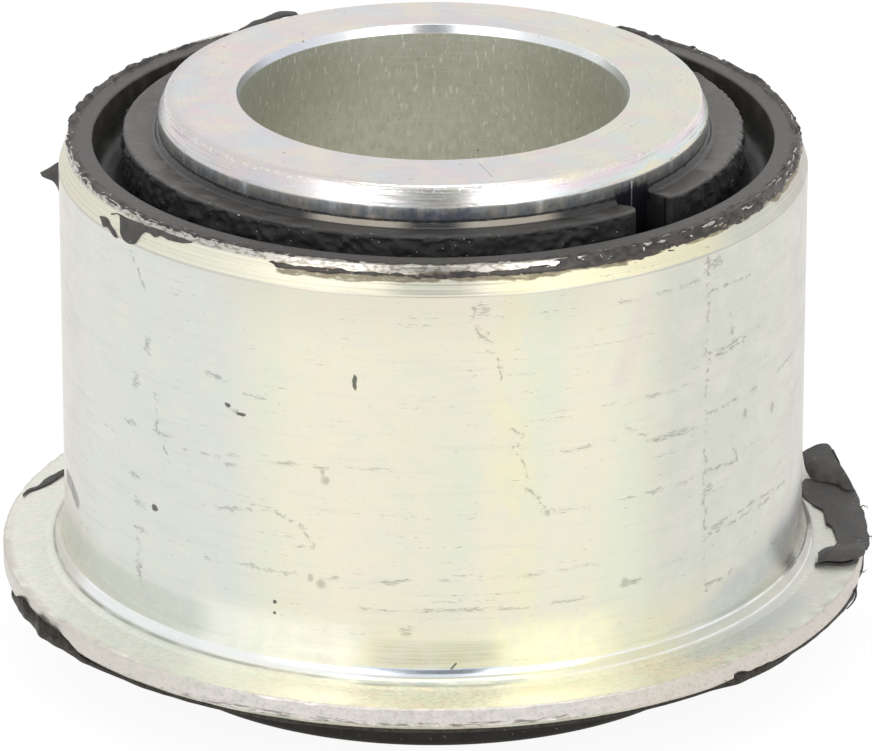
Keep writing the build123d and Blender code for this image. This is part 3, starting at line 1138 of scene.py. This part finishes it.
def flange_tints(paint):
    """The flange's mottled and brushed face with painted highlights, shade and reflections at its root, and
    its pinkish side with dark nicks.
    """
    flange = paint.times(paint.by_height(1.2, 0.3), paint.by_radius(29.6, 30.4))
    mottle = paint.patches(1.5, 4, 12, 0.34, 0.66)
    pale = paint.blend(mottle, (0.89, 0.93, 0.84), (0.95, 0.92, 0.85))
    middle = paint.sector(-22, 45, 14)
    golden = paint.blend(mottle, (0.82, 0.82, 0.64), (0.90, 0.79, 0.62))
    pale = paint.over(pale, golden, middle, 0.75)
    right = paint.sector(52, 110, 10)
    pale = paint.over(pale, (0.64, 0.64, 0.58), right, 0.6)
    paint.coat(pale, flange, 0.9)
    brushed = paint.noise((0.9, 0.12, 2), detail=3, seed=13, place=paint.turned_place(-24))
    paint.coat((0.54, 0.56, 0.48), flange, paint.rise(brushed, 0.5, 0.7), 0.42)
    paint.coat((0.97, 0.98, 0.94), flange, paint.rise(brushed, 0.44, 0.28), 0.5)

    # A turned line runs round the flange's root; at the left it is painted dark, as painted shade in its
    # groove
    fuzz = paint.patches((2.5, 2.5, 0.3), 3, 11, 0.3, 0.6, 0.4, 1.0)
    line = paint.times(paint.window(paint.radius, 29.82, 29.93, 0.09), paint.by_height(0.6, 0.45), fuzz)
    line = paint.times(line, paint.sector(-95, 12, 10))
    paint.coat((0.26, 0.28, 0.24), line, 0.75)

    # Painted highlights at the root: one white band at the left and two white lines at the right, with a
    # cool patch of painted shade on the flange beside them
    band = paint.times(paint.belt(0.5, 1.0, 0.12), paint.sector(-64, -12, 8))
    paint.coat((0.95, 0.975, 0.99), band, 0.7)
    painted_root_highlights = paint.most(paint.belt(0.92, 1.02, 0.07), paint.belt(0.30, 0.34, 0.05))
    painted_root_highlights = paint.times(painted_root_highlights, paint.sector(24, 84, 6), fuzz, paint.by_radius(30.5, 30.3))
    paint.coat((0.98, 0.99, 1.0), painted_root_highlights, 0.8)
    cool = paint.times(flange, paint.sector(42, 62, 8), paint.by_radius(32.8, 31.6))
    paint.coat((0.56, 0.60, 0.66), cool, 0.4)

    # Painted reflection of the dark camera side in its turned faces at the front: a dark one, a blue one
    # and a grey one between them
    face = paint.times(paint.belt(0.18, 0.4, 0.08), paint.sector(-8, 9, 7))
    fuzz = paint.patches((2.5, 2.5, 0.14), 3, 19, 0.36, 0.6, 0.35, 1.0)
    paint.coat((0.28, 0.30, 0.28), face, fuzz, 0.8)
    painted_blue_reflection = paint.times(paint.belt(0.7, 1.2, 0.1), paint.sector(-9, 9, 4))
    paint.coat((0.66, 0.76, 0.98), painted_blue_reflection, 0.65)
    second = paint.times(paint.belt(0.46, 0.6, 0.06), paint.sector(-8, 9, 6))
    paint.coat((0.40, 0.43, 0.42), second, 0.6)

    # Brown grain on the flange, a glow under each light, and wear at the left of its edge
    grainy = paint.patches(0.4, 3, 29, 0.46, 0.64)
    grainy = paint.times(grainy, flange, paint.rise(middle, 0, 1, 0.1, 0.3))
    paint.coat((0.54, 0.48, 0.38), grainy)
    lit = paint.most(paint.sector(-34, -15, 6), paint.sector(13, 26, 7))
    paint.coat((0.99, 0.98, 0.84), lit, flange, 0.5)
    worn = paint.times(flange, paint.by_radius(32.9, 33.6), paint.sector(-88, -44, 10))
    worn = paint.times(worn, paint.patches(1.7, 4, 99, 0.32, 0.62))
    paint.coat((0.60, 0.54, 0.47), worn, 0.55)

    # The flange's side is pinkish and speckled, with dark nicks and a rubbed line low down
    edge = paint.by_radius(flange_radius - 0.25, flange_radius - 0.05)
    side = paint.times(edge, paint.by_height(0.1, -0.05))
    cloudy = paint.patches((0.9, 0.9, 0.6), 3, 14, 0.38, 0.68)
    tint = paint.blend(cloudy, (0.66, 0.615, 0.60), (0.56, 0.545, 0.51))
    tint = paint.over(tint, (0.62, 0.565, 0.50), paint.sector(30, 110, 14), 0.7)
    speckle = paint.patches((0.3, 0.3, 0.25), 4, 100, 0.5, 0.66)
    tint = paint.over(tint, (0.33, 0.29, 0.25), speckle, 0.34)
    tint = paint.over(tint, (0.62, 0.595, 0.53), paint.sector(-110, -40, 14), 0.6)
    paint.coat(tint, side, 0.92)
    low = paint.by_height(-0.75, -1.4)
    green = paint.times(side, paint.by_height(-1.36, -1.5), paint.sector(-22, 24, 5))
    paint.coat((0.56, 0.60, 0.42), green, 0.7)
    nicks = paint.patches((0.45, 0.45, 0.22), 3, 15, 0.62, 0.7)
    paint.coat((0.14, 0.12, 0.10), side, nicks, low, 0.7)
    rubbed = paint.times(paint.belt(-1.4, -1.14, 0.09), paint.sector(-32, 16, 6))
    torn = paint.patches((1.3, 1.3, 0.2), 4, 30, 0.48, 0.6)
    paint.coat((0.16, 0.135, 0.11), side, rubbed, torn, 0.75)
    return flange


def rim_tints(paint):
    """Worn flecked steel at the rim, fine turned ridges on the taper, and rubber smeared thin
    over it, brown where the steel shows through."""
    strip = paint.by_height(32.85, 33.1)
    flecks = paint.patches((0.55, 0.55, 0.22), 3, 17, 0.46, 0.6)
    worn = paint.blend(flecks, (0.53, 0.505, 0.475), (0.24, 0.22, 0.19))
    paint.coat(worn, strip, 0.85)
    taper = paint.belt(31.5, 32.9, 0.12)
    ridges = paint.patches((24, 24, 0.11), 3, 18, 0.46, 0.62)
    few = paint.rise(paint.azimuth, 2, 26, 0.8, 0.34)
    paint.coat((0.42, 0.42, 0.38), taper, ridges, few)
    left = paint.times(taper, paint.sector(-85, -10, 14))
    paint.coat((0.80, 0.77, 0.60), left, 0.5)
    # Painted reflection of the dark camera side: the taper's ridges are greyer at its front
    grey = paint.times(taper, paint.sector(-3, 3, 6), paint.rise(ridges, 0, 1, 0.62, 1.0))
    paint.coat((0.34, 0.355, 0.31), grey, 0.75)
    gold = paint.times(taper, paint.sector(14, 44, 9))
    paint.coat((0.86, 0.80, 0.50), gold, 0.5)
    base = paint.belt(31.28, 31.36, 0.08)
    paint.coat((0.42, 0.39, 0.37), base, 0.45)

    ragged = paint.math("MULTIPLY", paint.less(paint.noise((2.8, 2.8, 1.4), detail=3, seed=8), 0.5), 1.3)
    edge = paint.add(paint.height, ragged)
    front = paint.times(paint.sector(-23.6, 30, 0.8), paint.window(edge, 32.42, 32.95, 0.16))
    beside = paint.times(paint.sector(28, 125, 3), paint.window(edge, 32.62, 33.0, 0.1))
    thin = paint.patches((0.8, 0.8, 0.2), 3, 3, 0.3, 0.5, 0.6, 1.0)
    paint.coat((0.21, 0.16, 0.075), beside, thin, 0.75)
    paint.coat((0.165, 0.14, 0.09), front, thin, 0.85)


def plated_shell():
    """Bright zinc on the shell: pale tints, a brushed flange, a worn rim and marks of handling."""
    paint = Paint("zinc_shell", metallic=0.78)
    wall_tints(paint)
    flange = flange_tints(paint)

    # Fine turning lines, dulled in streaks
    lines = paint.noise((30, 30, 0.22), detail=3, seed=1)
    streaks = paint.patches((6, 6, 0.5), 4, 6, 0.5, 0.72)
    paint.coat((0.56, 0.57, 0.53), streaks, 0.16)
    rim_tints(paint)

    # The marks of handling, a faint pink stroke at the right, and a painted reflection of the flash strip
    # low at the left
    wall = paint.times(paint.by_height(1.0, 1.6), paint.by_height(32.6, 32.2))
    marks = paint.times(shell_marks(paint), wall)
    paint.coat((0.10, 0.10, 0.085), marks)
    unrolled = unrolled_place(paint)
    stroke = paint.near_line(unrolled, ((32.9, 29.2), (29.2, 23.4)))
    stroke = paint.within(stroke, 1.3, 0.2)
    paint.coat((0.72, 0.56, 0.58), stroke, 0.3)
    dash = paint.near_line(unrolled, ((2.7, 1.25), (3.35, 1.62)))
    dash = paint.within(dash, 0.13, 0.03)
    paint.coat((0.10, 0.10, 0.09), dash, paint.by_radius(29.9, 29.7), 0.85)
    # Painted reflection of the flash strip on the wall, low at the left
    painted_strip_reflection = paint.near_line(unrolled, ((-79.3, 6.9), (-76, 6.95), (-72.4, 6.3)))
    painted_strip_reflection = paint.within(painted_strip_reflection, 0.75, 0.5)
    streaky = paint.patches((0.45, 0.45, 3), 3, 16, 0.36, 0.62, 0.5, 1.0)
    paint.coat((0.17, 0.16, 0.145), painted_strip_reflection, streaky)

    roughness = paint.add(0.3, paint.times(streaks, 0.12))
    roughness = paint.add(roughness, paint.times(flange, 0.14))
    roughness = paint.add(roughness, paint.times(paint.belt(31.4, 32.9, 0.12), 0.24))
    polished = paint.times(paint.by_height(2.2, 1.3), paint.by_radius(30.1, 29.8))
    roughness = paint.less(roughness, paint.times(polished, 0.13))
    roughness = paint.add(roughness, paint.times(marks, 0.2))
    return paint.finish(roughness, lines, depth=0.006)


# Soft patches of tint on the inner sleeve's end face, as (colour, seed, strength)
face_patches = (
    ((0.88, 0.66, 0.70), 91, 0.42),
    ((0.66, 0.79, 0.82), 92, 0.38),
    ((0.90, 0.83, 0.60), 93, 0.34),
)


def plated_tube():
    """Bright zinc on the inner sleeve: pearly on its end face, iridescent on the chamfer, grey on
    its wall and dull inside the bore."""
    paint = Paint("zinc_tube", metallic=0.9)
    drift = paint.noise(7, detail=2, seed=21)
    pearl, lilac, lime = (0.80, 0.74, 0.71), (0.73, 0.70, 0.72), (0.78, 0.79, 0.65)
    paint.colour = paint.blend(paint.rise(drift, 0.4, 0.6), pearl, lilac)
    right = paint.rise(paint.x, 2, 16)
    paint.coat(lime, right, 0.75)
    for tint, seed, share in face_patches:
        patch = paint.patches(3.0, 4, seed, 0.47, 0.66)
        paint.coat(tint, patch, share)
    swirls = paint.rise(paint.arcs(0.2, 7, 4, 94), 0.52, 0.70)
    paint.coat((0.52, 0.51, 0.52), swirls, 0.17)

    # Painted soft shade along the left of the end face's outer edge, and one scratch across its front
    edge_shade = paint.times(paint.sector(-125, -20, 20), paint.by_radius(19.6, 20.7))
    paint.coat((0.50, 0.49, 0.49), edge_shade, 0.3)
    slant = paint.less(paint.azimuth, paint.times(paint.radius, 0.36))
    scratch = paint.times(paint.window(slant, 6.33, 6.45, 0.2), paint.window(paint.radius, 16.4, 19.2, 0.4))
    paint.coat((0.30, 0.29, 0.29), scratch, 0.5)

    # The bore's chamfer is violet at the left and white behind
    mouth = paint.by_radius(15.3, 15.15)
    rim = paint.blend(paint.rise(paint.x, -6, -12), (0.90, 0.93, 0.96), (0.72, 0.76, 0.88))
    paint.coat(rim, mouth, 0.85)

    # Interference tints run across the chamfer, broad at the right and faint elsewhere
    chamfer = paint.times(paint.belt(35.6, 36.95, 0.1), paint.by_radius(20.6, 20.8))
    order = paint.add(paint.times(paint.height, 0.62), paint.times(drift, 1.5))
    phase = paint.math("FRACT", order)
    cyan, magenta, gold = (0.74, 0.88, 0.90), (0.90, 0.74, 0.86), (0.93, 0.88, 0.66)
    sheen = paint.blend(paint.rise(phase, 0.0, 0.4), cyan, magenta)
    sheen = paint.over(sheen, gold, paint.rise(phase, 0.4, 0.75))
    sheen = paint.over(sheen, cyan, paint.rise(phase, 0.8, 1.0))
    broad = paint.rise(paint.sector(20, 115, 14), 0, 1, 0.16, 0.62)
    paint.coat(sheen, chamfer, broad)

    # Dull streaks on the chamfer, from the turning tool
    turned_lines = paint.noise((5, 5, 0.14), detail=4, seed=23)
    dull = paint.times(chamfer, paint.rise(turned_lines, 0.5, 0.64))
    paint.coat((0.38, 0.38, 0.37), dull, 0.26)
    # Painted reflection of the dark camera side: the chamfer's turned lines are darker at its front
    middle = paint.times(chamfer, paint.sector(-9, 6, 8))
    middle = paint.times(middle, paint.rise(turned_lines, 0.36, 0.56, 0.5, 1.0))
    paint.coat((0.33, 0.335, 0.31), middle, 0.8)
    # Painted glints in beads along the chamfer's top edge
    beads = paint.patches((0.35, 0.35, 0.2), 3, 96, 0.52, 0.66)
    beads = paint.times(beads, paint.window(paint.radius, 20.68, 20.8, 0.07), paint.by_height(36.0, 36.4))
    paint.coat((0.97, 0.97, 0.96), beads, 0.55)

    # The wall below the chamfer is painted dark, as a painted reflection of the black ring below it; it is
    # paler at its top, and brushed upright
    wall = paint.times(paint.by_height(35.6, 35.3), paint.by_radius(20, 21))
    brushed = paint.noise((0.3, 0.3, 3), detail=3, seed=24)
    spotted = paint.noise((0.7, 0.7, 0.6), detail=4, seed=97, rough=0.6)
    lifted = paint.add(paint.height, paint.add(paint.times(brushed, 0.7), paint.times(spotted, 1.2)))
    steel = paint.blend(paint.rise(lifted, 35.5, 36.8), (0.17, 0.18, 0.19), (0.44, 0.46, 0.47))
    steel = paint.over(steel, (0.50, 0.52, 0.56), paint.rise(brushed, 0.5, 0.7), 0.14)
    warm = paint.patches((1.4, 1.4, 0.9), 4, 101, 0.46, 0.62)
    steel = paint.over(steel, (0.40, 0.35, 0.27), warm, 0.5)
    # Painted navy shade on the wall's front
    navy = paint.times(paint.sector(-4, 6, 4), paint.rise(lifted, 36.6, 35.8))
    steel = paint.over(steel, (0.09, 0.10, 0.15), navy, 0.6)
    # Painted shade, almost black, where the wall meets the ring
    foot = paint.times(paint.by_height(34.52, 34.4), paint.rise(brushed, 0.3, 0.6, 0.6, 1.0))
    steel = paint.over(steel, (0.035, 0.033, 0.032), foot, 0.85)

    # It is in deep shade inside the notch
    across = paint.less(paint.azimuth, notch_azimuth)
    shaded = paint.times(paint.window(across, -4.4, 4.4, 1), paint.rise(lifted, 36.2, 35.4))
    steel = paint.over(steel, (0.022, 0.022, 0.034), shaded, 0.9)
    seam = paint.sector(44.78, 44.96, 0.16)
    steel = paint.over(steel, (0.36, 0.37, 0.46), seam, 0.85)
    glint = paint.times(seam, paint.belt(34.75, 35.25, 0.15))
    steel = paint.over(steel, (0.92, 0.92, 0.86), glint, 0.9)
    paint.coat(steel, wall)

    # The bore is duller and greener, mottled, with short upright marks that catch the light
    bore = paint.times(paint.by_radius(15.15, 15.05), paint.by_height(36.4, 36.2))
    cloudy = paint.noise((2.5, 2.5, 3.5), detail=3, seed=26)
    dull_green = paint.blend(cloudy, (0.68, 0.68, 0.61), (0.82, 0.80, 0.73))
    dull_green = paint.over(dull_green, (0.60, 0.64, 0.52), paint.rise(paint.x, -3, -14), 0.45)

    # It is greyer near its mouth; deep down it is painted pale with painted light, most at the left
    deep = paint.by_height(35, 27)
    dull_green = paint.over(dull_green, (0.48, 0.50, 0.46), paint.rise(deep, 1, 0, 0, 0.3))
    deep = paint.times(deep, paint.rise(paint.x, 4, -8, 0.1, 0.62))
    dull_green = paint.over(dull_green, (0.99, 0.98, 0.88), deep)
    mottled = paint.patches((0.5, 0.5, 0.8), 5, 95, 0.40, 0.66, rough=0.65)
    dull_green = paint.over(dull_green, (0.52, 0.53, 0.44), mottled, 0.36)
    swept = paint.patches((2.5, 2.5, 0.16), 3, 98, 0.5, 0.68)
    swept = paint.times(swept, paint.rise(paint.math("ABSOLUTE", paint.x), 9, 3))
    dull_green = paint.over(dull_green, (0.92, 0.88, 0.76), swept, 0.22)
    scuffs = paint.patches((0.2, 0.2, 0.9), 2, 25, 0.60, 0.70)
    dull_green = paint.over(dull_green, (0.96, 0.97, 0.90), scuffs, 0.8)
    paint.coat(dull_green, bore)

    specks = paint.patches(0.4, 1, 27, 0.76, 0.79)
    paint.coat((0.2, 0.19, 0.19), specks, 0.6)
    lathe = paint.noise((0.3, 0.3, 30), detail=2, seed=28)
    roughness = paint.add(0.27, paint.times(dull, 0.2))
    roughness = paint.add(roughness, paint.times(bore, 0.12))
    roughness = paint.add(roughness, paint.times(wall, 0.22))
    relief = paint.add(paint.times(turned_lines, paint.less(1, bore)), paint.times(bore, lathe))
    relief = paint.add(relief, paint.times(spotted, wall, 3))
    return paint.finish(roughness, relief, depth=0.006)


def moulded_rubber():
    """Black rubber as moulded: smooth and dusty on top, coarse and dull on the ring's torn wall, with
    painted sheen, glints and shade.
    """
    paint = Paint("rubber_moulded", metallic=0)
    wall = paint.window(paint.radius, 23.75, 24.6, 0.1)
    wall = paint.times(wall, paint.by_height(ring_top - 0.02, ring_top - 0.25))
    wall = paint.times(wall, paint.by_height(0, 5))
    dust = paint.patches(2.2, 4, 31, 0.4, 0.7)
    paint.colour = paint.blend(dust, (0.032, 0.0305, 0.029), (0.052, 0.049, 0.044))
    # Painted sheen: the ring's top and the lining are paler towards the left and right
    sides = paint.rise(paint.math("ABSOLUTE", paint.x), 9, 21)
    outside = paint.math("MAXIMUM", paint.radius, 24.2)
    paler = paint.times(sides, paint.rise(outside, 24.6, 24.2, 0.35, 0.85))
    cloudy = paint.blend(paint.rise(dust, 0.2, 0.8), (0.082, 0.075, 0.069), (0.134, 0.129, 0.124))
    paint.coat(cloudy, paint.math("MINIMUM", paler, 1))
    # Darker on the ring's torn wall: its own coarse dull rubber, and painted shade of the groove
    paint.coat((0.0110, 0.0104, 0.0102), wall)
    specks = paint.patches(0.2, 1, 32, 0.755, 0.775)
    paint.coat((0.55, 0.54, 0.52), specks, 0.8)

    # The film over the steel rim is brown and mottled, with pale flakes
    over_rim = paint.times(paint.by_radius(27.6, 27.85), paint.by_height(31, 31.5))
    mottled = paint.patches((0.7, 0.7, 0.4), 4, 34, 0.38, 0.62)
    brown = paint.blend(mottled, (0.017, 0.0145, 0.0125), (0.056, 0.044, 0.036))
    paint.coat(brown, over_rim, 0.9)
    flakes = paint.patches((0.5, 0.5, 0.3), 3, 38, 0.665, 0.70)
    flakes = paint.times(flakes, over_rim, paint.belt(32.9, 33.58, 0.15))
    paint.coat((0.62, 0.60, 0.56), flakes, 0.75)
    film = paint.by_radius(sleeve_radius + 0.42, sleeve_radius + 0.3)
    film = paint.times(film, paint.by_height(33, 33.5))
    paint.coat((0.016, 0.016, 0.018), film, 0.9)
    # Painted glints of the lights on the shoulder by the sleeve, left and right of the front
    shoulder_glint = paint.times(film, paint.window(paint.math("ABSOLUTE", paint.azimuth), 9, 22, 6))
    shoulder_glint = paint.times(shoulder_glint, paint.by_height(33.84, 33.95))
    paint.coat((0.40, 0.36, 0.295), shoulder_glint, 0.8)

    # Painted shade inside the notch, where it is darkest
    across = paint.less(paint.azimuth, notch_azimuth)
    inside = paint.window(across, -6.6, 6.6, 1.2)
    inside = paint.times(inside, paint.by_height(ring_top - 0.1, ring_top - 0.5))
    inside = paint.times(inside, paint.by_radius(24.7, 24.5))
    paint.coat((0.008, 0.008, 0.009), inside, 0.8)
    fine = paint.noise(0.28, detail=4, seed=33, rough=0.6)
    roughness = paint.add(paint.rise(dust, 0, 1, 0.36, 0.52), paint.times(wall, 0.35))
    roughness = paint.less(roughness, paint.times(film, 0.22))
    relief = paint.times(fine, paint.rise(wall, 0, 1, 0.25, 1.0))
    return paint.finish(roughness, relief, depth=0.05)


def pad_rubber():
    """The pad's rubber: darker, browner and duller than the moulding's open end."""
    paint = Paint("rubber_pad", metallic=0)
    paint.shader.inputs["Specular IOR Level"].default_value = 0.22
    cloud = paint.noise((1.8, 1.8, 1.2), detail=4, seed=35)
    clouded = paint.rise(cloud, 0.38, 0.64)
    paint.colour = paint.blend(clouded, (0.0115, 0.0095, 0.007), (0.021, 0.017, 0.012))
    specks = paint.patches(0.25, 1, 36, 0.76, 0.78)
    paint.coat((0.40, 0.37, 0.33), specks, 0.5)
    grain = paint.noise(0.35, detail=4, seed=37, rough=0.6)
    flash = paint.times(paint.by_radius(33.3, 33.7), paint.rise(grain, 0.35, 0.6))
    paint.coat((0.055, 0.048, 0.04), flash, 0.7)
    return paint.finish(paint.rise(cloud, 0.3, 0.7, 0.42, 0.58), grain, depth=0.035)


def torn_rubber():
    """Torn rubber flash: duller, greyer and rough, in brownish clouds."""
    paint = Paint("rubber_torn", metallic=0)
    cloud = paint.noise(1.2, detail=4, seed=41)
    paint.colour = paint.blend(paint.rise(cloud, 0.35, 0.65), (0.030, 0.028, 0.027), (0.062, 0.056, 0.050))
    specks = paint.patches(0.25, 1, 42, 0.75, 0.77)
    paint.coat((0.5, 0.48, 0.45), specks, 0.7)
    grain = paint.noise(0.3, detail=4, seed=43, rough=0.6)
    roughness = paint.rise(cloud, 0.3, 0.7, 0.42, 0.62)
    return paint.finish(roughness, grain, depth=0.05)


# ---------------------------------------------------------------------------------------------
# Stage
# ---------------------------------------------------------------------------------------------

# The camera, in degrees and millimetres. Its axis shift is in pixels of the picture.
camera_elevation = 22.2
camera_distance = 623.5
camera_aim_height = 13.23
camera_lens = 328.7
sensor_width = 36.0
frame_width = 872
axis_left_of_middle = 2.8

# The stage, in metres: a floor that glows, and a dark card on the camera's side
floor_size = (8, 8)
floor_glow = 0.925
card_size = (0.4, 0.5)
card_place = (0, -0.75, 0.17)
tent_glow = 0.87

# Soft lights, as (name, azimuth, elevation, distance, width, height, radiance)
softboxes = (
    ("soft_left", -30, 22, 0.9, 0.42, 0.6, 2.6),
    ("soft_right", 30, 22, 0.9, 0.42, 0.6, 2.6),
    ("soft_top", 0, 82, 1.0, 0.6, 0.6, 1.6),
)


def make_camera():
    """A long lens that looks down at the part's front."""
    data = bpy.data.cameras.new("camera")
    data.lens = camera_lens
    data.sensor_width = sensor_width
    data.shift_x = axis_left_of_middle / frame_width
    camera = new_object("camera", data)
    angle = math.radians(camera_elevation)
    away = Vector((0, -math.cos(angle), math.sin(angle)))
    camera.location = (Vector((0, 0, camera_aim_height)) + away * camera_distance) * MM
    camera.rotation_euler = (-away).to_track_quat("-Z", "Y").to_euler()
    bpy.context.scene.camera = camera


def make_softbox(name, azimuth, elevation, distance, width, height, radiance):
    """A rectangular soft light that faces the part. Lengths are in metres."""
    data = bpy.data.lights.new(name, "AREA")
    data.shape = "RECTANGLE"
    data.size = width
    data.size_y = height
    data.energy = radiance * math.pi * width * height
    light = new_object(name, data)
    angle, rise = math.radians(azimuth), math.radians(elevation)
    towards = Vector((math.sin(angle) * math.cos(rise), -math.cos(angle) * math.cos(rise), math.sin(rise)))
    light.location = towards * distance
    light.rotation_euler = towards.to_track_quat("Z", "Y").to_euler()
    light.visible_camera = False


def plain_material(name, colour, glow=0.0):
    """A matt material for the stage."""
    material = bpy.data.materials.new(name)
    material.use_nodes = True
    shader = material.node_tree.nodes["Principled BSDF"]
    shader.inputs["Base Color"].default_value = (*colour, 1)
    shader.inputs["Roughness"].default_value = 1
    shader.inputs["Specular IOR Level"].default_value = 0
    shader.inputs["Emission Color"].default_value = (1, 1, 1, 1)
    shader.inputs["Emission Strength"].default_value = glow
    return material


def make_plane(name, size, location, rotation, material):
    """A flat board of the stage. Lengths are in metres."""
    half_width, half_height = size[0] / 2, size[1] / 2
    signs = ((-1, -1), (1, -1), (1, 1), (-1, 1))
    corners = [(half_width * across, half_height * along, 0) for across, along in signs]
    mesh = bpy.data.meshes.new(name)
    mesh.from_pydata(corners, [], [(0, 1, 2, 3)])
    board = new_object(name, mesh)
    board.location = location
    board.rotation_euler = rotation
    mesh.materials.append(material)
    return board


def make_stage():
    """A white floor, a white tent, two soft lights, and the dark of the camera's side between."""
    world = bpy.data.worlds.new("tent")
    world.use_nodes = True
    background = world.node_tree.nodes["Background"]
    background.inputs["Color"].default_value = (1, 1, 1, 1)
    background.inputs["Strength"].default_value = tent_glow
    bpy.context.scene.world = world

    floor_level = sleeve_bottom * MM
    floor_white = plain_material("floor_white", (0.1, 0.1, 0.1), glow=floor_glow)
    make_plane("floor", floor_size, (0, 0, floor_level), (0, 0, 0), floor_white)
    upright = (math.radians(90), 0, 0)
    card_black = plain_material("card_black", (0.01, 0.01, 0.01))
    card = make_plane("dark_card", card_size, card_place, upright, card_black)
    card.visible_camera = False
    for softbox in softboxes:
        make_softbox(*softbox)
    bpy.context.scene.view_settings.view_transform = "Standard"


# ---------------------------------------------------------------------------------------------
# Build
# ---------------------------------------------------------------------------------------------


def finish_piece(piece, material, slot, *nodes):
    """Gives a piece its material and its body, and hides the CAD nodes that it replaces. The slot is not
    used.
    """
    piece.data.materials.append(material)
    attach(piece, BODY)
    if nodes:
        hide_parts(*nodes)


make_stage()
make_camera()

finish_piece(make_shell(), plated_shell(), "outer_sleeve", "outer_sleeve")
finish_piece(make_tube(), plated_tube(), "inner_sleeve", "inner_sleeve")
moulded = moulded_rubber()
finish_piece(make_ring(), moulded, "rubber", "rubber_body")
finish_piece(make_lining(), moulded, "rubber")
finish_piece(make_pad(), pad_rubber(), "rubber")
torn = torn_rubber()
for scrap in make_right_sheet() + make_flash():
    finish_piece(scrap, torn, "rubber")
